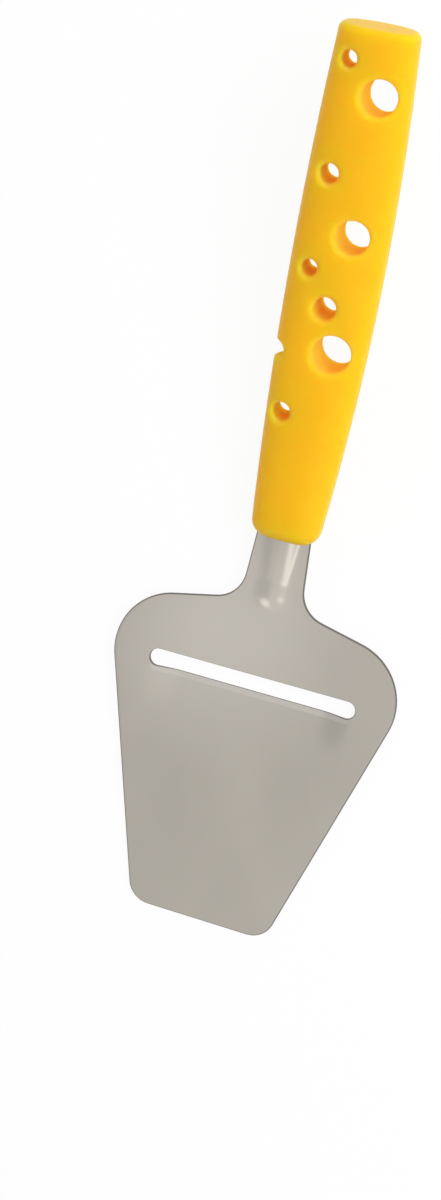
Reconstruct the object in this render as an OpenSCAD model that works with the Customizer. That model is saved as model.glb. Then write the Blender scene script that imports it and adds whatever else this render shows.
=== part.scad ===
// Plane cheese slicer: a stamped steel blade whose hidden tang is moulded into a pierced handle.
// The blade is drawn in its own frame: the slot's centre is the origin, X runs across, +Y points
// to the handle and +Z is the side that the slice comes out on, with Z = 0 in mid-sheet.
// seat() then lays the whole slicer on the table, on the front edge and the heel of the handle.

/* [Blade] */
// Thickness of the steel sheet
sheet_t = 1.2; // [0.8:0.1:1.6]
// Width of the blade at its front edge
tip_w = 35; // [28:1:40]
// Distance from the slot's centre to the front edge
tip_reach = 62; // [52:1:72]
// Radius of the front corners
tip_corner_r = 6; // [2:0.5:12]
// Angle that each side flares out from the front edge
side_flare = 16.2; // [12:0.1:20]
// Distance from the slot's centre to where the two shoulder lines meet
shoulder_y = 21.7; // [18:0.1:26]
// Angle that each shoulder falls away from the neck
shoulder_fall = 12.5; // [5:0.1:20]
// Radius of the shoulder corners
shoulder_r = 15; // [8:0.5:18]

/* [Slot and cutting lip] */
// Length of the slot, end to end
slot_len = 52; // [40:1:54]
// Width of the slot
slot_w = 4.4; // [3:0.1:5]
// Length of sheet that is pressed down to form the lip
lip_len = 12; // [8:0.5:16]
// Depth that the cutting edge is pressed down
lip_drop = 1.5; // [0.8:0.1:2]
// Run over which the pressed form dies out towards each end of the slot
lip_run_out = 8; // [4:0.5:12]
// Thickness left at the ground cutting edge
edge_t = 0.25; // [0.1:0.05:0.5]
// Width of the ground bevel
bevel_w = 1.4; // [0.6:0.1:2]

/* [Neck and tang] */
// Width of the neck where it leaves the blade
neck_w = 14.6; // [12:0.1:17]
// Radius of the fillets between the neck and the shoulders
neck_fillet_r = 7.5; // [4:0.5:9]
// Distance from the slot's centre to the bend in the neck
bend_y = 25.6; // [25:0.1:30]
// Angle that the neck is bent up out of the blade
neck_rise = 8.2; // [4:0.1:12]
// Length of neck that shows between the bend and the handle
neck_len = 11; // [8:0.5:18]
// Length of tang inside the handle
tang_len = 23; // [20:0.5:25]
// Width of the tang at its inner end
tang_end_w = 10.4; // [9:0.1:12]
// Diameter of the two holes in the tang that the moulding fills
lock_d = 4.4; // [3:0.1:5]
// Width of the stiffening bead at its end inside the handle
bead_w = 8.6; // [7.5:0.1:9.5]
// Height of the bead above the sheet at that end
bead_h = 1.9; // [1.5:0.1:2.4]
// Width of the bead on the blade, up to its round nose
bead_nose_w = 6; // [5:0.1:7]
// Distance that the bead runs past the bend on to the blade, before its round nose
bead_reach = 3; // [2:0.1:5]

/* [Handle] */
// Length of the handle along its axis
handle_len = 117; // [117:1:135]
// Width at the neck end
low_w = 16.2; // [15.5:0.1:19]
// Width at mid-length
mid_w = 21.4; // [20.5:0.1:25]
// Width at the far end
top_w = 17.4; // [16.5:0.1:21]
// Depth at the neck end
low_d = 11.2; // [10.5:0.1:13]
// Depth at mid-length
mid_d = 12.2; // [11.5:0.1:14]
// Depth at the far end
top_d = 11.6; // [10.5:0.1:13]
// Exponent of the section: 2 is an ellipse, more is squarer
squareness = 2.4; // [2:0.1:3]
// Radius of the rounded edge at the neck end
neck_end_r = 3.6; // [2:0.1:4]
// Radius of the rounded edge at the far end
far_end_r = 1.4; // [0.8:0.1:3]
// Angle of the handle's axis to the blade at the neck end
axis_rise = 7.3; // [5:0.1:10]
// Radius of the bow in the handle's axis
bow_r = 690; // [500:10:1500]

/* [Cheese holes] */
// Lean of the holes from square to the handle's chord, towards the neck
hole_lean = 1.3; // [0:0.1:3]
// Radius that softens the rims of the holes
rim_r = 1.2; // [0.8:0.1:2]

/* [Hidden] */
$fn = 64;
far = 300;

// Each hole in the handle: distance from the neck end, offset across and diameter.
// The hole that breaks through the edge of the handle leaves a round notch there.
HANG_HOLE = [103.5, 3.1, 7.7];
HOLES = [
    HANG_HOLE,
    [110.2, -4.7, 3.6],
    [85.8, -4.7, 4.4],
    [73.2, 2.9, 7.5],
    [64.7, -5.4, 3.8],
    [56.5, -0.2, 5.2],
    [46.6, 3.2, 8.6],
    [44.5, -9.8, 3.7],
    [30.8, -5.7, 4.4]
];
rim_lift = 0.15;

// Blade outline: the side lines and the shoulder lines meet in the shoulder corners.
side_slope = tan(side_flare);
fall_slope = tan(shoulder_fall);
slot_half_w = tip_w / 2 + tip_reach * side_slope;
corner_x = (slot_half_w + side_slope * shoulder_y) / (1 + side_slope * fall_slope);
shoulder_corner = [corner_x, shoulder_y - fall_slope * corner_x];
neck_corner = [neck_w / 2, shoulder_y - fall_slope * neck_w / 2];

slot_r = slot_w / 2;
slot_arc_x = slot_len / 2 - slot_r;
lip_root_y = -slot_r - lip_len;

// Bead: a cone up the neck and a nosed bar on the blade, whose chords on the sheet are its widths.
bead_r = (bead_w * bead_w / 4 + bead_h * bead_h) / (2 * bead_h);
bead_sunk = bead_r - bead_h;
bead_nose_r = norm([bead_sunk, bead_nose_w / 2]);
bead_z = sheet_t / 2 - bead_sunk;
bead_in_handle = 5;
bead_end = neck_len + bead_in_handle;
bead_overlap = bead_r * tan(neck_rise / 2);
shank_len = neck_len + tang_len;
tang_end_r = 3;

// The handle's axis is an arc that starts at the end of the neck.
handle_start = [bend_y + neck_len * cos(neck_rise), neck_len * sin(neck_rise)];
hole_angle = axis_rise + turn(handle_len / 2) + hole_lean;
section_steps = 40;
end_steps = 7;
body_steps = 20;

// Rest: the heel is the lowest point of the rounded neck end, and shares the table with the tip.
heel = axis_point(neck_end_r) - (half_depth(neck_end_r) - neck_end_r) * axis_normal(neck_end_r);
heel_run = [heel[0] + tip_reach, heel[1] + sheet_t / 2];
rest_tilt = asin(neck_end_r / norm(heel_run)) - atan2(heel_run[1], heel_run[0]);
top_back_d = handle_len - far_end_r;
top_back = axis_point(top_back_d) - (half_depth(top_back_d) - far_end_r) * axis_normal(top_back_d);
table_z = -tip_reach * sin(rest_tilt) - sheet_t / 2 * cos(rest_tilt);
front_y = -tip_reach * cos(rest_tilt) - sheet_t / 2 * sin(rest_tilt);
back_y = top_back[0] * cos(rest_tilt) - top_back[1] * sin(rest_tilt) + far_end_r;

// Small helpers: a smooth step from 0 to 1, a quadratic through three sizes, and flattening.
function ease(f) = let (c = min(1, max(0, f))) c * c * (3 - 2 * c);
function through(low, mid, top, f) =
    low * (1 - f) * (1 - 2 * f) + mid * 4 * f * (1 - f) + top * f * (2 * f - 1);
function flat_list(rows) = [for (row = rows) each row];

// The handle's axis at a distance d from its neck end, in the YZ plane.
function turn(d) = d / bow_r * 180 / PI;
function axis_angle(d) = axis_rise + turn(d);
function axis_point(d) = handle_start + bow_r * [
    sin(axis_angle(d)) - sin(axis_rise),
    cos(axis_rise) - cos(axis_angle(d))
];
function axis_normal(d) = [-sin(axis_angle(d)), cos(axis_angle(d))];
function half_width(d) = through(low_w, mid_w, top_w, d / handle_len) / 2;
function half_depth(d) = through(low_d, mid_d, top_d, d / handle_len) / 2;

// Height of the handle's face over its axis plane, at an offset across.
function face_height(d, across) =
    half_depth(d) * pow(max(0, 1 - pow(abs(across) / half_width(d), squareness)), 1 / squareness);

// Sideways lean of the face there: the direction of the section's gradient.
function face_lean(d, across) = atan2(
    sign(across) * pow(abs(across) / half_width(d), squareness - 1) / half_width(d),
    pow(face_height(d, across) / half_depth(d), squareness - 1) / half_depth(d)
);

module seat() {
    translate([0, -(front_y + back_y) / 2, -table_z])
        rotate([rest_tilt, 0, 0])
            children();
}

// Closed solid through a list of rings of the same even number of points. Each end is closed by
// strips from one half of its ring to the other.
module loft(rings) {
    n = len(rings[0]);
    last = (len(rings) - 1) * n;
    walls = [
        for (i = [0 : len(rings) - 2], j = [0 : n - 1])
            let (a = i * n + j, b = i * n + (j + 1) % n)
                each [[a, b, b + n], [a, b + n, a + n]]
    ];
    caps = [
        for (j = [0 : n / 2 - 2])
            let (a = j, b = j + 1, c = n - 2 - j, d = n - 1 - j)
                each [
                    [a, d, c],
                    [a, c, b],
                    [last + a, last + b, last + c],
                    [last + a, last + c, last + d]
                ]
    ];
    polyhedron(flat_list(rings), concat(walls, caps));
}

// Polygon with rounded corners: each corner is cut back to its tangent points, then a disc
// fills an outer corner or hollows an inner one, so every corner is a true arc.
module rounded_polygon(points, radii) {
    n = len(points);
    corners = [
        for (i = [0 : n - 1])
            let (
                p = points[i],
                back = points[(i + n - 1) % n] - p,
                ahead = points[(i + 1) % n] - p,
                u = back / norm(back),
                v = ahead / norm(ahead),
                half = acos(u * v) / 2,
                reach = radii[i] / tan(half),
                middle = (u + v) / norm(u + v)
            )
                [p + u * reach, p + v * reach, p + middle * radii[i] / sin(half), cross(u, v) < 0]
    ];
    difference() {
        union() {
            polygon(flat_list([for (c = corners) [c[0], c[1]]]));
            for (i = [0 : n - 1])
                if (radii[i] > 0 && corners[i][3])
                    translate(corners[i][2])
                        circle(radii[i]);
        }
        for (i = [0 : n - 1])
            if (radii[i] > 0 && !corners[i][3])
                translate(corners[i][2])
                    circle(radii[i]);
    }
}

// Flat part of the sheet, with the slot and the window that the pressed lip fills.
module blade_outline() {
    right = [
        [tip_w / 2, -tip_reach],
        shoulder_corner,
        neck_corner,
        [neck_w / 2, bend_y]
    ];
    left = [for (i = [3 : -1 : 0]) [-right[i][0], right[i][1]]];
    radii = [tip_corner_r, shoulder_r, neck_fillet_r, 0];
    rounded_polygon(concat(right, left), concat(radii, [for (i = [3 : -1 : 0]) radii[i]]));
}

module slot_outline() {
    square([2 * slot_arc_x, slot_w], center = true);
    for (side = [-1, 1])
        translate([side * slot_arc_x, 0])
            circle(slot_r);
}

module flat_sheet() {
    linear_extrude(sheet_t, center = true)
        difference() {
            blade_outline();
            slot_outline();
            translate([-slot_len / 2, lip_root_y])
                square([slot_len, -lip_root_y]);
        }
}

// Cutting lip: the sheet in front of the slot eases down to the edge and dies out at both ends,
// where its rim follows the slot's round ends. The last strip is ground down to the edge.
module cutting_lip() {
    arc_steps = 5;
    run_steps = 6;
    half_x = concat(
        [for (i = [0 : arc_steps]) slot_arc_x + slot_r * cos(90 * i / arc_steps)],
        [for (i = [1 : run_steps]) slot_arc_x - lip_run_out * i / run_steps]
    );
    columns = concat([for (x = half_x) -x], [for (i = [len(half_x) - 1 : -1 : 0]) half_x[i]]);
    press_steps = 7;
    rows = [for (j = [0 : press_steps]) j / press_steps];
    function rim_y(x) = -sqrt(max(0, slot_r * slot_r - pow(max(0, abs(x) - slot_arc_x), 2)));
    function fade(x) = ease((slot_len / 2 - abs(x)) / lip_run_out);
    function lip_point(x, f) = let (
        ground = rim_y(x) - bevel_w,
        y = f > 1 ? rim_y(x) : lip_root_y + (ground - lip_root_y) * f,
        press = (y - lip_root_y) / (rim_y(x) - lip_root_y)
    ) [x, y, -lip_drop * fade(x) * ease(press)];
    function steel(x, f) = f > 1 ? sheet_t - (sheet_t - edge_t) * fade(x) : sheet_t;
    stations = concat(rows, [2]);
    loft([
        for (x = columns)
            concat(
                [for (f = stations) lip_point(x, f) + [0, 0, steel(x, f) - sheet_t / 2]],
                [for (j = [len(stations) - 1 : -1 : 0]) lip_point(x, stations[j]) - [0, 0, sheet_t / 2]]
            )
    ]);
}

// Neck frame: the bend is its origin and +Y runs up the neck.
module on_neck() {
    translate([0, bend_y, 0])
        rotate([neck_rise, 0, 0])
            children();
}

module round_nose(r, length) {
    rotate([-90, 0, 0])
        rotate_extrude() {
            square([r, length]);
            intersection() {
                circle(r);
                translate([0, -r])
                    square(r);
            }
        }
}

// The bead follows the bent sheet, and its hollow is the same form a sheet's thickness inside it.
module bead_form(inside) {
    on_neck()
        translate([0, -bead_overlap, bead_z])
            rotate([-90, 0, 0])
                cylinder(bead_end + bead_overlap - inside, bead_nose_r - inside, bead_r - inside);
    translate([0, bend_y - bead_reach, bead_z])
        round_nose(bead_nose_r - inside, bead_reach + bead_overlap);
}

// Neck, bead and tang: the tilted end of the sheet, hollow under the bead, with two lock holes.
module shank() {
    lock_y = [shank_len - tang_len / 2, shank_len - lock_d];
    difference() {
        union() {
            on_neck()
                linear_extrude(sheet_t, center = true)
                    difference() {
                        rounded_polygon(
                            [
                                [neck_w / 2, 0],
                                [tang_end_w / 2, shank_len],
                                [-tang_end_w / 2, shank_len],
                                [-neck_w / 2, 0]
                            ],
                            [0, tang_end_r, tang_end_r, 0]
                        );
                        for (y = lock_y)
                            translate([0, y])
                                circle(d = lock_d);
                    }
            intersection() {
                bead_form(0);
                translate([-far / 2, -far / 2, -sheet_t / 2])
                    cube(far);
                on_neck()
                    translate([-far / 2, -far / 2, -sheet_t / 2])
                        cube(far);
            }
        }
        bead_form(sheet_t);
    }
}

module blade() {
    color("#b9b2a8")
        seat() {
            difference() {
                union() {
                    flat_sheet();
                    translate([-neck_w / 2, bend_y, 0])
                        rotate([0, 90, 0])
                            cylinder(neck_w, d = sheet_t);
                }
                bead_form(sheet_t);
            }
            cutting_lip();
            shank();
        }
}

// Handle body: superelliptic rings along the bowed axis, drawn in round both ends.
module handle_body() {
    function drawn_in(from_end, r) =
        from_end >= r ? 0 : r - sqrt(r * r - pow(r - from_end, 2));
    function inset(d) = max(drawn_in(d, neck_end_r), drawn_in(handle_len - d, far_end_r));
    function bulge(c) = sign(c) * pow(abs(c), 2 / squareness);
    function ring(d) = let (p = axis_point(d), n = axis_normal(d)) [
        for (i = [0 : section_steps - 1])
            let (
                angle = 360 * (i + 0.5) / section_steps,
                x = (half_width(d) - inset(d)) * bulge(cos(angle)),
                h = (half_depth(d) - inset(d)) * bulge(sin(angle))
            )
                [x, p[0] + h * n[0], p[1] + h * n[1]]
    ];
    body_len = handle_len - neck_end_r - far_end_r;
    end_shares = [for (i = [0 : end_steps - 1]) 1 - cos(90 * i / end_steps)];
    neck_end = [for (i = [0 : end_steps - 1]) neck_end_r * end_shares[i]];
    body = [for (i = [0 : body_steps]) neck_end_r + body_len * i / body_steps];
    far_end = [for (i = [end_steps - 1 : -1 : 0]) handle_len - far_end_r * end_shares[i]];
    loft([for (d = concat(neck_end, body, far_end)) ring(d)]);
}

// One softened rim, standing on the face with its axis along +Z: a disc-shaped shoulder rounds
// the corner, lifted a little so that the flare breaks through the face at a clear angle.
module rim_flare(r) {
    rotate_extrude()
        difference() {
            translate([0, -rim_r])
                square([r + rim_r, 2 * rim_r]);
            translate([r + rim_r, rim_r * (rim_lift - 1)])
                circle(rim_r);
        }
}

module cheese_hole(hole) {
    d = hole[0];
    across = hole[1];
    r = hole[2] / 2;
    height = face_height(d, across);
    back_d = d + 2 * height * tan(hole_angle - axis_angle(d));
    front = axis_point(d) + height * axis_normal(d);
    translate([across, front[0], front[1]])
        rotate([hole_angle, 0, 0])
            translate([0, 0, -2 * mid_d])
                cylinder(3 * mid_d, r = r);
    if (abs(across) + r < half_width(d))
        for (side = [[d, 1], [back_d, -1]])
            let (p = axis_point(side[0]) + side[1] * face_height(side[0], across) * axis_normal(side[0]))
                translate([across, p[0], p[1]])
                    rotate([axis_angle(side[0]), 0, 0])
                        mirror([0, 0, side[1] > 0 ? 0 : 1])
                            rotate([0, face_lean(side[0], across), 0])
                                rim_flare(r);
}

module handle() {
    color("#f6bd1f")
        seat()
            difference() {
                handle_body();
                for (hole = HOLES)
                    cheese_hole(hole);
                shank();
            }
}

blade();
handle();
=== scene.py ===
"""Looks of a plane cheese slicer: a satin steel blade with a slot and a beaded neck, moulded into a
bowed yellow handle that is pierced by round holes. Sizes are in millimetres in the blade's own frame:
the slot's centre is the origin, X runs across, +Y to the handle and +Z to the upper face."""

import bpy
import numpy as np
from mathutils import Matrix, Vector


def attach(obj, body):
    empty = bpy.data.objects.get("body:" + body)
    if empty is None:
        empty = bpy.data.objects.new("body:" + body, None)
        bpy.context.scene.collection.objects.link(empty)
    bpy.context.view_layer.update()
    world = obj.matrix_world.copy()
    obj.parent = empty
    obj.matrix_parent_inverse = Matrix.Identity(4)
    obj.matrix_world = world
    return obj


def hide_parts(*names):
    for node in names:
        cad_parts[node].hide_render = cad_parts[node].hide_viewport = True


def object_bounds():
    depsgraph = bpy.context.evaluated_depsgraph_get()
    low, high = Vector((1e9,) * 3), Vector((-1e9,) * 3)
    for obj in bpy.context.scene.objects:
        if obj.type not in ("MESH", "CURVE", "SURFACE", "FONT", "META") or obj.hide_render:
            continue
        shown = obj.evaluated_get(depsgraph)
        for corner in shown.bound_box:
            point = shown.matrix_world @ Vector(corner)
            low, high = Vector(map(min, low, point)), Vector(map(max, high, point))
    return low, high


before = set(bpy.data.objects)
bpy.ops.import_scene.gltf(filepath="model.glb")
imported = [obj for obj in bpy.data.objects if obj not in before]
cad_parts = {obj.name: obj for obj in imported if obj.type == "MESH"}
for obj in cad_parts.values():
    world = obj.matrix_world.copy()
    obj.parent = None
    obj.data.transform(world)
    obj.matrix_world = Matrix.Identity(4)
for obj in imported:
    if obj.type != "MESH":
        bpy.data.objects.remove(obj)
cad_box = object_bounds()

MM = 0.001

# Blade sheet
SHEET_T = 1.2
TIP_W = 35
TIP_REACH = 62
TIP_CORNER_R = 6
SIDE_FLARE = np.radians(16.2)
SHOULDER_Y = 21.7
SHOULDER_FALL = np.radians(12.5)
SHOULDER_R = 15
EDGE_R = 0.35

# Slot and cutting lip
SLOT_LEN = 52
SLOT_W = 4.4
SLOT_EDGE_R = 0.15
LIP_LEN = 12
LIP_DROP = 1.5
LIP_RUN_OUT = 8
LIP_EDGE_T = 0.25
BEVEL_W = 1.4

# Neck, bead and tang
NECK_W = 14.6
NECK_FILLET_R = 7.5
BEND_Y = 25.6
BEND_R = 14
NECK_RISE = np.radians(8.2)
NECK_LEN = 11
TANG_LEN = 23
TANG_END_W = 10.4
TANG_END_R = 3
BEAD_W = 8.6
BEAD_H = 1.9
BEAD_NOSE_W = 6
BEAD_REACH = 3
BEAD_IN_HANDLE = 5
BEAD_FADE = 4
BEAD_FOOT = 0.7
NOSE_FOOT = 0.9

# Handle, with its sizes at the neck end, half-way and at the far end
HANDLE_LEN = 117
HANDLE_W = (16.2, 21.4, 17.4)
HANDLE_D = (11.2, 12.2, 11.6)
SQUARENESS = 2.4
NECK_END_R = 3.6
FAR_END_R = 1.4
AXIS_RISE = np.radians(7.3)
BOW_R = 690

# Holes in the handle: distance from the neck end, offset across and diameter
HOLES = (
    (103.5, 3.1, 7.7),
    (110.2, -4.7, 3.6),
    (85.8, -4.7, 4.4),
    (73.2, 2.9, 7.5),
    (64.7, -5.4, 3.8),
    (56.5, -0.2, 5.2),
    (46.6, 3.2, 8.6),
    (44.5, -9.8, 3.7),
    (30.8, -5.7, 4.4),
)
HOLE_LEAN = np.radians(1.3)
RIM_R = 1.2
NOTCH_RIM_R = 0.6

# Steel: the two tones of the rolled sheet, the painted sheen left of the neck (a paler patch that stands
# in for reflected light), the bevel and the cut edges
ROLLED_STEEL = ((0.405, 0.376, 0.333), (0.507, 0.472, 0.421))
PAINTED_SHEEN_STEEL = (0.64, 0.60, 0.545)
GROUND_STEEL = (0.60, 0.57, 0.53)
# Cut edges: dull, and darkened further with painted shade that stands in for their dark reflections
DULL_SHADED_EDGE_STEEL = (0.22, 0.205, 0.18)
SHEEN_CENTRE = (-11, 11, 0)
SHEEN_REACH = 42
SHEEN_SHARE = 0.62
BEVEL_SHARE = 0.6
GRAIN_DEPTH = 0.02

# Plastic: the two tones of the faces, and the walls of the holes, whose brighter, more orange yellow is
# painted light for the light that reaches them through the holes
FACE_YELLOW = ((0.82, 0.49, 0.003), (0.845, 0.52, 0.005))
PAINTED_LIGHT_WALL_YELLOW = (1.0, 0.54, 0.035)
SKIN_DEPTH = 0.03

# Surround and floor: strengths, and the X of a direction where the dip on the left starts and is full
AMBIENT = 0.4
LEFT_DIP = 0.21
DIP_START = -0.23
DIP_FULL = -0.38
FLOOR_GREY = 0.9
FLOOR_GLOW = 0.45
FLOOR_SEEN_GLOW = 0.48

# Softboxes: direction from the slicer, distance and size in metres, power in watts, mirrored or not
SOFTBOXES = {
    "key": ((0.6, 0.22, 0.77), 0.7, 0.6, 4.5, False),
    "side": ((0.6, -0.47, 0.65), 0.7, 0.18, 0.2, True),
    "fill": ((-0.44, -0.82, 0.37), 0.8, 0.38, 0.45, True),
    "back": ((-0.19, 0.9, 0.39), 0.7, 0.18, 0.6, False),
}

# Worked out from the sizes above
SLOT_R = SLOT_W / 2
SLOT_ARC_X = SLOT_LEN / 2 - SLOT_R
SLOT_RIM_R = SLOT_R + SLOT_EDGE_R
LIP_ROOT_Y = -SLOT_R - LIP_LEN
BEVEL_ROOT_Y = -SLOT_R - BEVEL_W
BEAD_END = NECK_LEN + BEAD_IN_HANDLE
NECK_END = BEND_Y + NECK_LEN
SHANK_END = NECK_END + TANG_LEN
HANDLE_START = (BEND_Y + NECK_LEN * np.cos(NECK_RISE), NECK_LEN * np.sin(NECK_RISE))
HOLE_ANGLE = AXIS_RISE + HANDLE_LEN / 2 / BOW_R + HOLE_LEAN


def ease(share):
    """Smooth step: three times the square less twice the cube of the share, held between 0 and 1."""
    held = np.clip(share, 0, 1)
    return held * held * (3 - 2 * held)


def through(sizes, share):
    """Quadratic through three sizes, at the shares 0, one half and 1."""
    low, mid, top = sizes
    rest = 1 - share
    return low * rest * (1 - 2 * share) + mid * 4 * share * rest + top * share * (2 * share - 1)


def on_handle_axis(along, height):
    """Y and Z of a point at a height over the handle's axis, which is an arc of the bow's radius that
    starts at the neck with the axis' rise."""
    angle = AXIS_RISE + along / BOW_R
    y = HANDLE_START[0] + BOW_R * (np.sin(angle) - np.sin(AXIS_RISE)) - height * np.sin(angle)
    z = HANDLE_START[1] + BOW_R * (np.cos(AXIS_RISE) - np.cos(angle)) + height * np.cos(angle)
    return y, z


def resting():
    """Tilt and shift that lay the slicer on the floor: the front edge and the handle's heel touch it,
    so the tilt is the slope from one to the other, and the box is centred on the origin."""
    heel_drop = through(HANDLE_D, NECK_END_R / HANDLE_LEN) / 2 - NECK_END_R
    heel_y, heel_z = on_handle_axis(NECK_END_R, -heel_drop)
    run, rise = heel_y + TIP_REACH, heel_z + SHEET_T / 2
    tilt = np.arcsin(NECK_END_R / np.hypot(run, rise)) - np.arctan2(rise, run)
    back_along = HANDLE_LEN - FAR_END_R
    back_drop = through(HANDLE_D, back_along / HANDLE_LEN) / 2 - FAR_END_R
    back_y, back_z = on_handle_axis(back_along, -back_drop)
    front = -TIP_REACH * np.cos(tilt) - SHEET_T / 2 * np.sin(tilt)
    back = back_y * np.cos(tilt) - back_z * np.sin(tilt) + FAR_END_R
    lowest = -TIP_REACH * np.sin(tilt) - SHEET_T / 2 * np.cos(tilt)
    return tilt, np.array([0, -(front + back) / 2, -lowest])


REST_TILT, REST_SHIFT = resting()


def laid_down(points):
    """Points of the blade's frame, turned about X and shifted to lie on the floor, in metres."""
    cosine, sine = np.cos(REST_TILT), np.sin(REST_TILT)
    turn = np.array([[1, 0, 0], [0, cosine, -sine], [0, sine, cosine]])
    return (np.asarray(points, float) @ turn.T + REST_SHIFT) * MM


def add_piece(name, points, faces, marks, slot_name, node):
    """Smooth-shaded piece on the root body, made of points in the blade's frame, that stands for a node.
    The marks are named shares, one to a point, that a finish can read."""
    mesh = bpy.data.meshes.new(name)
    mesh.from_pydata(laid_down(points).tolist(), [], faces.tolist())
    mesh.shade_smooth()
    for mark_name, shares in marks.items():
        attribute = mesh.attributes.new(mark_name, "FLOAT", "POINT")
        attribute.data.foreach_set("value", shares.astype(np.float32))
    mesh.update()
    piece = bpy.data.objects.new(name, mesh)
    bpy.context.scene.collection.objects.link(piece)
    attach(piece, "root")
    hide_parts(node)
    return piece


# Blade


def straight_run(start, end, step):
    """Points of a straight run, about a step apart, without its two ends."""
    count = int(np.hypot(*(end - start)) / step)
    share = np.linspace(0, 1, count, endpoint=False)[1:, None]
    return start + (end - start) * share


def sheet_outline(step=0.02):
    """Right-hand edge of the flat sheet as half-width, distance and outward normal, from the front edge
    to the end of the tang: straight runs joined by arcs that touch both runs at each corner."""
    side, fall = np.tan(SIDE_FLARE), np.tan(SHOULDER_FALL)
    widest = (TIP_W / 2 + (TIP_REACH + SHOULDER_Y) * side) / (1 + side * fall)
    corners = np.array([
        [0, -TIP_REACH],
        [TIP_W / 2, -TIP_REACH],
        [widest, SHOULDER_Y - fall * widest],
        [NECK_W / 2, SHOULDER_Y - fall * NECK_W / 2],
        [NECK_W / 2, BEND_Y],
        [TANG_END_W / 2, SHANK_END],
        [0, SHANK_END],
    ])
    radii = (TIP_CORNER_R, SHOULDER_R, NECK_FILLET_R, TANG_END_R, TANG_END_R)
    runs = np.diff(corners, axis=0)
    headings = np.arctan2(runs[:, 1], runs[:, 0])
    points, normals = [], []
    for corner, before, after, radius in zip(corners[1:-1], headings[:-1], headings[1:], radii):
        bend = after - before
        reach = radius * np.tan(abs(bend) / 2)
        start = corner - reach * np.array([np.cos(before), np.sin(before)])
        centre = start + radius * np.sign(bend) * np.array([-np.sin(before), np.cos(before)])
        if points:
            run = straight_run(points[-1][-1], start, step)
            points.append(run)
            normals.append(np.repeat(normals[-1][-1:], len(run), axis=0))
        turned = before + bend * np.linspace(0, 1, int(radius * abs(bend) / step))
        normal = np.stack([np.sin(turned), -np.cos(turned)], axis=1)
        points.append(centre + radius * np.sign(bend) * normal)
        normals.append(normal)
    return np.concatenate(points), np.concatenate(normals)


def sheet_rows():
    """Distances of the grid's rows along the sheet: close together where the edge turns, over the
    pressed lip, round the slot's ends and over the bead, and wide apart where the sheet is plain."""
    corner_rows, plain_rows, lip_rows, bevel_rows, slot_rows = 14, 22, 22, 6, 17
    bridge_rows, neck_rows, tang_rows, tang_end_rows = 9, 90, 12, 8
    bridge_end = 9
    in_handle = NECK_END + 2
    quarter = np.pi / 2
    front, end = -TIP_REACH + EDGE_R, SHANK_END - EDGE_R
    return np.concatenate([
        front + TIP_CORNER_R * (1 - np.cos(np.linspace(0, quarter, corner_rows))),
        np.linspace(front + TIP_CORNER_R, LIP_ROOT_Y, plain_rows)[1:],
        np.linspace(LIP_ROOT_Y, BEVEL_ROOT_Y, lip_rows)[1:],
        np.linspace(BEVEL_ROOT_Y, -SLOT_RIM_R, bevel_rows)[1:-1],
        SLOT_RIM_R * np.sin(np.linspace(-quarter, quarter, slot_rows)),
        np.linspace(SLOT_RIM_R, bridge_end, bridge_rows)[1:],
        np.linspace(bridge_end, in_handle, neck_rows)[1:],
        np.linspace(in_handle, end - TANG_END_R, tang_rows)[1:],
        end - TANG_END_R * (1 - np.sin(np.linspace(0, quarter, tang_end_rows)))[1:],
    ])


def sheet_grid():
    """Offsets across and distances along of a grid over the flat sheet, which stops short of the outline
    by the edge's rounding. Each row runs from edge to edge, and its columns keep their shares of the width
    on either side of the slot's ends and between them. With the grid come the outline's normals at
    its rows, and the block of rows and columns that the slot takes out."""
    side_columns, slot_columns = 12, 44
    rows = sheet_rows()
    low, high = (int(np.argmin(np.abs(rows - rim))) for rim in (-SLOT_RIM_R, SLOT_RIM_R))
    edge, normal = sheet_outline()
    inset = edge - EDGE_R * normal
    half = np.interp(rows, inset[:, 1], inset[:, 0])
    normals = [np.interp(rows, inset[:, 1], part)[:, None] for part in normal.T]

    arc = np.sqrt(SLOT_RIM_R**2 - np.clip(rows, -SLOT_RIM_R, SLOT_RIM_R) ** 2)
    beside = np.where(rows < 0, half[low], half[high])
    in_slot = np.abs(rows) < SLOT_RIM_R
    knee = np.where(in_slot, SLOT_ARC_X + arc, SLOT_ARC_X * half / beside)
    outer = np.linspace(0, 1, side_columns + 1)[:-1]
    between = np.linspace(-1, 1, slot_columns + 1)
    left = -half[:, None] + (half - knee)[:, None] * outer
    x = np.concatenate([left, knee[:, None] * between, -left[:, ::-1]], axis=1)
    along = np.broadcast_to(rows[:, None], x.shape)
    window = (slice(low, high + 1), slice(side_columns, side_columns + slot_columns + 1))
    return x, along, normals, window


def bead_height(x, along):
    """Height of the pressed bead: a circular crown round a sunk axis, whose radius grows up the neck and
    which has a ball nose on the blade. Towards the circle's sides the crown runs on down a straight slope.
    It is eased into the sheet at its foot by half the sum of the crown and the root of its square plus
    the foot's square, crisply along the neck and softly round the nose."""
    round_share, side_slope = 0.9, 2
    end_r = (BEAD_W**2 / 4 + BEAD_H**2) / (2 * BEAD_H)
    sunk = end_r - BEAD_H
    nose_r = np.hypot(sunk, BEAD_NOSE_W / 2)
    up_neck = along - BEND_Y
    radius = nose_r + (end_r - nose_r) * np.clip(up_neck / BEAD_END, 0, 1)
    off_axis = np.hypot(x, np.minimum(up_neck + BEAD_REACH, 0))
    inside = np.minimum(off_axis, round_share * radius)
    crown = np.sqrt(radius**2 - inside**2) - sunk - side_slope * (off_axis - inside)
    foot = BEAD_FOOT + (NOSE_FOOT - BEAD_FOOT) * ease(-up_neck / BEAD_REACH)
    fade = 1 - ease((up_neck - BEAD_END) / BEAD_FADE)
    return (crown + np.sqrt(crown**2 + foot**2)) / 2 * fade


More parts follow.
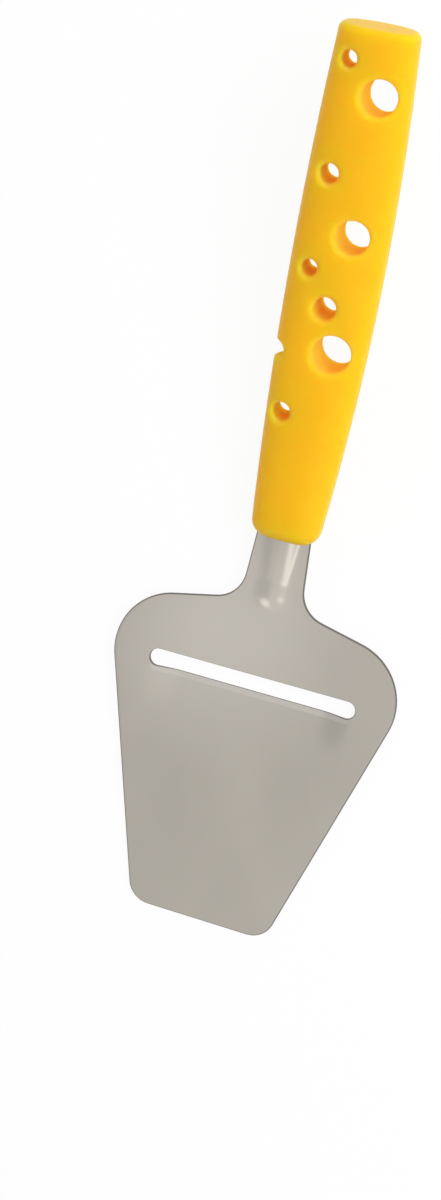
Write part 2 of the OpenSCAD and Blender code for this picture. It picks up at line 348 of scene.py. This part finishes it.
def lip_form(x, along):
    """Drop of the cutting lip and thickness of the steel there: the drop eases in from the lip's root to
    the slot and out again towards its ends, and the bevel thins the last strip to the edge."""
    past_arc = np.clip(np.abs(x) - SLOT_ARC_X, 0, SLOT_R)
    rim = -np.sqrt(SLOT_R**2 - past_arc**2)
    fade = ease((SLOT_LEN / 2 - np.abs(x)) / LIP_RUN_OUT) * (along < 0)
    press = ease((along - LIP_ROOT_Y) / (rim - LIP_ROOT_Y))
    ground = np.clip((along - rim + BEVEL_W) / BEVEL_W, 0, 1)
    return -LIP_DROP * fade * press, SHEET_T - (SHEET_T - LIP_EDGE_T) * fade * ground


def sheet_lift(x, along, share):
    """Lift over the plain sheet's middle at a share of the steel, 0 underneath and 1 on top: the bead's
    height and the lip's drop, less half of the sheet, plus that share of the thickness there."""
    drop, steel = lip_form(x, along)
    return bead_height(x, along) + drop - SHEET_T / 2 + steel * share


def bent(x, along, lift):
    """Point at a lift over the sheet's middle: the sheet runs flat, turns through an arc at the bend and
    then runs straight up the neck, and the lift is square to it."""
    half = BEND_R * np.tan(NECK_RISE / 2)
    turned = np.clip((along - BEND_Y + half) / (2 * half), 0, 1) * NECK_RISE
    after = np.maximum(along - BEND_Y - half, 0)
    y = np.minimum(along, BEND_Y - half) + BEND_R * np.sin(turned) + after * np.cos(NECK_RISE)
    z = BEND_R * (1 - np.cos(turned)) + after * np.sin(NECK_RISE)
    return np.stack([x, y - lift * np.sin(turned), z + lift * np.cos(turned)], axis=-1)


def rim_strip(x, along, out_x, out_along, edge_r):
    """Rounded edge round a closed loop of the sheet: a quarter arc out from the top, then one back to the
    underside, none deeper than half of the steel. Returns rows of points from top to bottom."""
    arc_points = 5
    turned = np.linspace(0, np.pi / 2, arc_points)[1:, None]
    steel = lip_form(x, along)[1]
    out = edge_r * np.sin(turned)
    share = 1 - np.minimum(edge_r / steel, 0.5) * (1 - np.cos(turned))
    out = np.concatenate([out, out[::-1]])
    share = np.concatenate([share, 1 - share[::-1]])
    return bent(x + out_x * out, along + out_along * out, sheet_lift(x, along, share))


def grid_faces(index):
    """Quads over a grid of vertex numbers."""
    corners = (index[:-1, :-1], index[:-1, 1:], index[1:, 1:], index[1:, :-1])
    return np.stack(corners, axis=-1).reshape(-1, 4)


def border(index):
    """Loop of the vertex numbers round a grid, from its first row on to its last column."""
    return np.concatenate([index[0, :-1], index[:-1, -1], index[-1, :0:-1], index[:0:-1, 0]])


def make_blade():
    """One closed sheet: its top and its underside are the sheet's grid at two heights, with a window left
    open for the slot, and rounded strips close the outer edge and the slot. Its marks are 1 on the
    cut edges and on the ground bevel, where the steel is thinner than the sheet."""
    least_ground = 0.02
    x, along, normals, window = sheet_grid()
    count = x.size
    index = np.arange(count).reshape(x.shape)
    top_faces = grid_faces(index)
    top_faces = top_faces[~np.isin(top_faces, index[window]).all(axis=1)]

    sides = [0, -1]
    edge_x, edge_along = np.zeros(x.shape), np.sign(along)
    edge_x[:, sides] = np.sign(x[:, sides]) * normals[0]
    edge_along[:, sides] = normals[1]
    slot_x = (np.clip(x, -SLOT_ARC_X, SLOT_ARC_X) - x) / SLOT_RIM_R
    slot_along = -along / SLOT_RIM_R

    points = [bent(x, along, sheet_lift(x, along, share)).reshape(-1, 3) for share in (1, 0)]
    faces = [top_faces, top_faces[:, ::-1] + count]
    on_bevel = SHEET_T - lip_form(x, along)[1].ravel() > least_ground
    cut, ground = [np.zeros(2 * count)], [on_bevel, np.zeros(count)]
    made = 2 * count
    for loop, out_x, out_along, edge_r in (
        (border(index), edge_x, edge_along, EDGE_R),
        (border(index[window])[::-1], slot_x, slot_along, SLOT_EDGE_R),
    ):
        strip = rim_strip(*(values.ravel()[loop] for values in (x, along, out_x, out_along)), edge_r)
        numbers = np.arange(strip[..., 0].size).reshape(strip.shape[:2]) + made
        ring = np.concatenate([loop[None], numbers, loop[None] + count])
        ring = np.concatenate([ring, ring[:, :1]], axis=1)
        points.append(strip.reshape(-1, 3))
        faces.append(grid_faces(ring)[:, ::-1])
        cut.append(np.ones(numbers.size))
        ground.append(np.zeros(numbers.size))
        made += numbers.size
    used, numbered = np.unique(np.concatenate(faces), return_inverse=True)
    marks = {"cut_edge": np.concatenate(cut)[used], "ground_bevel": np.concatenate(ground)[used]}
    return np.concatenate(points)[used], numbered.reshape(-1, 4), marks


# Handle


def round_max(first, second, radius):
    """The larger of two distances, with the edge where both are near zero rounded to a radius."""
    beyond = np.hypot(np.maximum(first + radius, 0), np.maximum(second + radius, 0))
    return np.minimum(-radius, np.maximum(first, second)) + beyond


def hole_start(along, across):
    """Where a hole's axis breaks the handle's upper face."""
    share = along / HANDLE_LEN
    off = min(1, abs(across) / (through(HANDLE_W, share) / 2))
    height = through(HANDLE_D, share) / 2 * (1 - off**SQUARENESS) ** (1 / SQUARENESS)
    return on_handle_axis(along, height)


def past_hole(x, along, height, hole):
    """Distance outside a hole's round bar, whose axis starts on the upper face and leans as all do."""
    hole_along, hole_across, diameter = hole
    start_y, start_z = hole_start(hole_along, hole_across)
    y, z = on_handle_axis(along, height)
    off = (y - start_y) * np.cos(HOLE_ANGLE) + (z - start_z) * np.sin(HOLE_ANGLE)
    return np.hypot(x - hole_across, off) - diameter / 2


def handle_field(x, along, height):
    """Distance outside the handle: a superelliptic section over the bowed axis, rounded off at both ends,
    less a round bar for each hole. A rim is rounded fully on the faces and little on the sides."""
    least_size, least_slope = 0.05, 0.02
    share = np.clip(along / HANDLE_LEN, 0, 1)
    half_w, half_d = through(HANDLE_W, share) / 2, through(HANDLE_D, share) / 2
    wide, deep = np.abs(x) / half_w, np.abs(height) / half_d
    size = (wide**SQUARENESS + deep**SQUARENESS) ** (1 / SQUARENESS)
    size = np.maximum(size, least_size)
    slope_x = (wide / size) ** (SQUARENESS - 1) / half_w
    slope_h = (deep / size) ** (SQUARENESS - 1) / half_d
    steep = np.maximum(np.hypot(slope_x, slope_h), least_slope)
    end_r = np.where(share < 0.5, NECK_END_R, FAR_END_R)
    body = round_max((size - 1) / steep, np.maximum(-along, along - HANDLE_LEN), end_r)
    rim = NOTCH_RIM_R + (RIM_R - NOTCH_RIM_R) * np.minimum(slope_h / steep, 1) ** 2
    for hole in HOLES:
        body = round_max(body, -past_hole(x, along, height, hole), rim)
    return body


def field_slope(field, points, reach=0.02):
    """Gradient of a field at points, from central differences."""
    steps = np.eye(3) * reach
    rises = [field(*(points + step).T) - field(*(points - step).T) for step in steps]
    return np.stack(rises, axis=1) / (2 * reach)


def relaxed(points, faces):
    """Each vertex moved half-way to the mean of the centres of the quads round it."""
    centres = points[faces].mean(axis=1)
    corners = faces.ravel()
    totals = [np.bincount(corners, np.repeat(values, 4), len(points)) for values in centres.T]
    counts = np.bincount(corners, minlength=len(points))
    return (points + np.stack(totals, axis=1) / counts[:, None]) / 2


def surface_net(field, low, high, cell):
    """Closed quad mesh on the zero surface of a field. Each grid cell that the surface crosses holds one
    vertex, and each grid edge that it crosses makes a quad of the four cells round that edge. The vertices
    are then relaxed and slid down the field's slope on to the surface, a few times over."""
    rounds, slides, least_slope = 6, 2, 0.05
    axes = [np.arange(start, end + cell, cell) for start, end in zip(low, high)]
    inside = field(*np.meshgrid(*axes, indexing="ij")) < 0
    ends = (slice(None, -1), slice(1, None))
    corners = [inside[i, j, k] for i in ends for j in ends for k in ends]
    filled = sum(corner.astype(int) for corner in corners)
    crossed = (filled > 0) & (filled < len(corners))
    number = np.full(crossed.shape, -1)
    number[crossed] = np.arange(crossed.sum())
    points = np.argwhere(crossed) * cell + np.array(low) + cell / 2
    faces = []
    for turn in ((0, 1, 2), (1, 2, 0), (2, 0, 1)):
        here, cells = inside.transpose(turn), number.transpose(turn)
        before, after = here[:-1, 1:-1, 1:-1], here[1:, 1:-1, 1:-1]
        round_edge = (cells[:, :-1, :-1], cells[:, 1:, :-1], cells[:, 1:, 1:], cells[:, :-1, 1:])
        quads = np.stack(round_edge, axis=-1)
        faces += [quads[before & ~after], quads[~before & after][:, ::-1]]
    faces = np.concatenate(faces)
    for _ in range(rounds):
        points = relaxed(points, faces)
        for _ in range(slides):
            slope = field_slope(field, points)
            fall = field(*points.T) / np.maximum((slope**2).sum(axis=1), least_slope)
            points = points - slope * fall[:, None]
    return points, faces


def make_handle():
    """Surface of the pierced handle, netted along its straightened axis and then bowed. Its mark, which
    carries the painted light and the roughness of the hole walls, is 1 in the holes and fades out over
    their rims."""
    cell = 0.45
    margin = 2 * cell
    wide, deep = max(HANDLE_W) / 2 + margin, max(HANDLE_D) / 2 + margin
    low, high = (-wide, -margin, -deep), (wide, HANDLE_LEN + margin, deep)
    points, faces = surface_net(handle_field, low, high, cell)
    x, along, height = points.T
    nearest = np.min([past_hole(x, along, height, hole) for hole in HOLES], axis=0)
    bowed = np.stack([x, *on_handle_axis(along, height)], axis=1)
    return bowed, faces, {"hole_wall": 1 - ease(nearest / RIM_R)}


# Finishes


class Wire:
    """A shader socket that adds Math nodes when it takes part in arithmetic."""

    def __init__(self, tree, socket):
        self.tree = tree
        self.socket = socket

    def math(self, operation, first, second):
        made = add_node(self.tree, "ShaderNodeMath", {"operation": operation}, {0: first, 1: second})
        return Wire(self.tree, made.outputs[0])

    def __add__(self, other):
        return self.math("ADD", self, other)

    def __radd__(self, other):
        return self.math("ADD", other, self)

    def __sub__(self, other):
        return self.math("SUBTRACT", self, other)

    def __rsub__(self, other):
        return self.math("SUBTRACT", other, self)

    def __mul__(self, other):
        return self.math("MULTIPLY", self, other)

    def __rmul__(self, other):
        return self.math("MULTIPLY", other, self)

    def most(self, other):
        return self.math("MAXIMUM", self, other)


def add_node(tree, kind, settings, values):
    """One node: its settings first, then the value of each socket or the wire that feeds it."""
    made = tree.nodes.new(kind)
    for name, value in settings.items():
        setattr(made, name, value)
    for name, value in values.items():
        if isinstance(value, Wire):
            tree.links.new(value.socket, made.inputs[name])
        else:
            made.inputs[name].default_value = value
    return made


def new_material(name):
    """An empty node material, its tree and the wire of the object's own coordinates."""
    material = bpy.data.materials.new(name)
    material.use_nodes = True
    tree = material.node_tree
    tree.nodes.clear()
    place = Wire(tree, add_node(tree, "ShaderNodeTexCoord", {}, {}).outputs["Object"])
    return material, tree, place


def noise(tree, place, stretch, scale, detail):
    """Noise from 0 to 1 in the object's coordinates. The scale is its cells to the metre, and the stretch
    thins them out along each axis."""
    placed = add_node(tree, "ShaderNodeMapping", {}, {"Vector": place, "Scale": stretch})
    made = add_node(
        tree, "ShaderNodeTexNoise", {},
        {"Vector": Wire(tree, placed.outputs[0]), "Scale": scale, "Detail": detail},
    )
    return Wire(tree, made.outputs[0])


def blend_colour(tree, share, first, second):
    """Colour between two by a share. Each is a wire or three numbers."""
    first, second = (colour if isinstance(colour, Wire) else (*colour, 1) for colour in (first, second))
    made = add_node(tree, "ShaderNodeMix", {"data_type": "RGBA"}, {"Factor": share, 6: first, 7: second})
    return Wire(tree, made.outputs[2])


def mark(tree, name):
    """Share that the piece holds at each point under a name."""
    return Wire(tree, add_node(tree, "ShaderNodeAttribute", {"attribute_name": name}, {}).outputs["Fac"])


def bump(tree, height, depth, strength):
    """Normal of a surface with a small relief of a depth in millimetres."""
    made = add_node(
        tree, "ShaderNodeBump", {}, {"Height": height, "Distance": depth * MM, "Strength": strength}
    )
    return Wire(tree, made.outputs[0])


def finish_surface(tree, values):
    """Principled surface with its values, as the material's output."""
    shader = add_node(tree, "ShaderNodeBsdfPrincipled", {}, values)
    add_node(tree, "ShaderNodeOutputMaterial", {}, {"Surface": Wire(tree, shader.outputs[0])})


def painted_sheen(tree, place):
    """Share of the painted sheen on the blade, a paler patch that stands in for reflected light, which
    eases out with the distance from its centre.
    """
    centre = laid_down(SHEEN_CENTRE)
    distance = add_node(tree, "ShaderNodeVectorMath", {"operation": "DISTANCE"}, {0: place, 1: centre})
    made = add_node(
        tree, "ShaderNodeMapRange", {"interpolation_type": "SMOOTHSTEP"},
        {
            "Value": Wire(tree, distance.outputs["Value"]),
            "From Min": SHEEN_REACH * MM,
            "From Max": 0,
            "To Max": SHEEN_SHARE,
        },
    )
    return Wire(tree, made.outputs[0])


def satin_steel():
    """Warm satin stainless: fine grain along the blade, cloudy tones from rolling, a painted sheen beside
    the neck, which is a paler patch standing in for reflected light, dull edges where the sheet was cut,
    darkened further with painted shade, and a smoother, brighter ground bevel."""
    material, tree, place = new_material("satin_steel")
    grain = noise(tree, place, stretch=(1, 0.02, 1), scale=9000, detail=2)
    cloud = noise(tree, place, stretch=(1, 0.6, 1), scale=45, detail=4)
    cut = mark(tree, "cut_edge")
    bevel = mark(tree, "ground_bevel")
    rolled = blend_colour(tree, cloud, *ROLLED_STEEL)
    # Painted sheen: a paler patch beside the neck that stands in for reflected light
    sheet = blend_colour(tree, painted_sheen(tree, place), rolled, PAINTED_SHEEN_STEEL)
    ground = blend_colour(tree, bevel * BEVEL_SHARE, sheet, GROUND_STEEL)
    finish_surface(tree, {
        # The cut edges' dark colour is partly their dull finish and partly painted shade
        "Base Color": blend_colour(tree, cut, ground, DULL_SHADED_EDGE_STEEL),
        "Metallic": 1.0,
        "Roughness": 0.25 + 0.06 * cloud + 0.08 * grain + 0.22 * cut - 0.07 * bevel,
        "Normal": bump(tree, grain, GRAIN_DEPTH, strength=0.25),
    })
    return material


def yellow_plastic():
    """Slightly translucent moulded yellow: soft gloss, faint cloudiness in the colour, a fine moulded
    skin, and walls in the holes that are rougher, where core pins left the skin unpolished, and painted a
    brighter, more orange yellow that stands in for the light reaching them through the holes."""
    material, tree, place = new_material("yellow_plastic")
    cloud = noise(tree, place, stretch=(1, 1, 1), scale=60, detail=2)
    skin = noise(tree, place, stretch=(1, 1, 1), scale=1800, detail=2)
    wall = mark(tree, "hole_wall")
    face = blend_colour(tree, cloud, *FACE_YELLOW)
    finish_surface(tree, {
        # Hole walls: painted light, a brighter, more orange yellow for the light that reaches them through
        # the holes
        "Base Color": blend_colour(tree, wall, face, PAINTED_LIGHT_WALL_YELLOW),
        "Specular IOR Level": 0.25,
        "Subsurface Weight": 1.0,
        "Subsurface Radius": (1.0, 0.3, 0.06),
        "Subsurface Scale": 0.02,
        "Roughness": 0.34 + 0.08 * cloud + 0.06 * skin + 0.5 * wall,
        "Normal": bump(tree, skin, SKIN_DEPTH, strength=0.12),
    })
    return material


# Stage


def shown_white(tree, share):
    """Share of white that a seen or mirrored background gets, 0 for the light that it scatters."""
    path = add_node(tree, "ShaderNodeLightPath", {}, {})
    seen = Wire(tree, path.outputs["Is Camera Ray"])
    mirrored = Wire(tree, path.outputs["Is Glossy Ray"])
    through_it = Wire(tree, path.outputs["Is Transmission Ray"])
    return seen.most(mirrored).most(through_it) * share


def pale_floor():
    """White floor that shows nearly white and keeps a faint shadow."""
    material, tree, _ = new_material("pale_floor")
    matt = add_node(tree, "ShaderNodeBsdfDiffuse", {}, {"Color": (FLOOR_GREY, FLOOR_GREY, FLOOR_GREY, 1)})
    glow = add_node(tree, "ShaderNodeEmission", {}, {"Color": (1, 1, 1, 1), "Strength": 1})
    share = shown_white(tree, FLOOR_SEEN_GLOW) + FLOOR_GLOW
    mixed = add_node(
        tree, "ShaderNodeMixShader", {},
        {0: share, 1: Wire(tree, matt.outputs[0]), 2: Wire(tree, glow.outputs[0])},
    )
    add_node(tree, "ShaderNodeOutputMaterial", {}, {"Surface": Wire(tree, mixed.outputs[0])})
    return material


def make_floor():
    """Flat floor under the slicer."""
    reach = 4.0
    corners = [(-reach, -reach, 0), (reach, -reach, 0), (reach, reach, 0), (-reach, reach, 0)]
    mesh = bpy.data.meshes.new("floor")
    mesh.from_pydata(corners, [], [(0, 1, 2, 3)])
    floor = bpy.data.objects.new("floor", mesh)
    bpy.context.scene.collection.objects.link(floor)
    mesh.materials.append(pale_floor())


def make_world():
    """White surround to look at, which lights the slicer at the ambient strength. What metal mirrors of it
    is dimmed towards the left by the dip, as in a studio that is lit from the right."""
    world = bpy.data.worlds.new("surround")
    world.use_nodes = True
    tree = world.node_tree
    tree.nodes.clear()
    toward = add_node(tree, "ShaderNodeTexCoord", {}, {}).outputs["Generated"]
    side = add_node(tree, "ShaderNodeSeparateXYZ", {}, {0: Wire(tree, toward)})
    mirrored = Wire(tree, add_node(tree, "ShaderNodeLightPath", {}, {}).outputs["Is Glossy Ray"])
    left = add_node(
        tree, "ShaderNodeMapRange", {},
        {
            "Value": Wire(tree, side.outputs["X"]),
            "From Min": DIP_START,
            "From Max": DIP_FULL,
            "To Min": 0,
            "To Max": LEFT_DIP,
        },
    )
    strength = AMBIENT + shown_white(tree, 1 - AMBIENT) - Wire(tree, left.outputs[0]) * mirrored
    sky = add_node(tree, "ShaderNodeBackground", {}, {"Color": (1, 1, 1, 1), "Strength": strength})
    add_node(tree, "ShaderNodeOutputWorld", {}, {"Surface": Wire(tree, sky.outputs[0])})
    bpy.context.scene.world = world


def make_softbox(name, target, direction, distance, size, power, mirrored):
    """Square softbox that faces a target from a direction. One that isn't mirrored lights the plastic but
    leaves no glare on the steel."""
    light = bpy.data.lights.new(name, "AREA")
    light.shape = "SQUARE"
    light.size = size
    light.energy = power
    box = bpy.data.objects.new(name, light)
    bpy.context.scene.collection.objects.link(box)
    away = Vector(direction).normalized()
    box.location = Vector(target) + away * distance
    box.rotation_euler = away.to_track_quat("Z", "Y").to_euler()
    box.visible_glossy = mirrored


def make_camera():
    """Camera over the handle's right side: its three axes stand square to one another in the blade's
    frame, and the lens puts the focal length in pixels on the image's long side."""
    image_h = 1200
    focal_px = 1750
    eye = (72.79, 107.77, 401.51)
    right = Vector((0.9446, 0.2154, -0.2477))
    down = Vector((0.2589, -0.9527, 0.1589))
    data = bpy.data.cameras.new("camera")
    data.sensor_width = 36
    data.lens = data.sensor_width * focal_px / image_h
    data.clip_start = 0.01
    camera = bpy.data.objects.new("camera", data)
    bpy.context.scene.collection.objects.link(camera)
    back = right.cross(-down).normalized()
    up = back.cross(right).normalized()
    axes = Matrix((right.normalized(), up, back)).transposed()
    turn = Matrix.Rotation(REST_TILT, 3, "X")
    camera.matrix_world = Matrix.Translation(laid_down(eye)) @ (turn @ axes).to_4x4()
    bpy.context.scene.camera = camera


blade = add_piece("steel_blade", *make_blade(), "steel", "blade")
blade.data.materials.append(satin_steel())
handle = add_piece("yellow_handle", *make_handle(), "yellow_plastic", "handle")
handle.data.materials.append(yellow_plastic())

make_floor()
make_world()
middle = (cad_box[0] + cad_box[1]) / 2
for softbox, values in SOFTBOXES.items():
    make_softbox(softbox, middle, *values)
make_camera()
bpy.context.scene.view_settings.view_transform = "Standard"
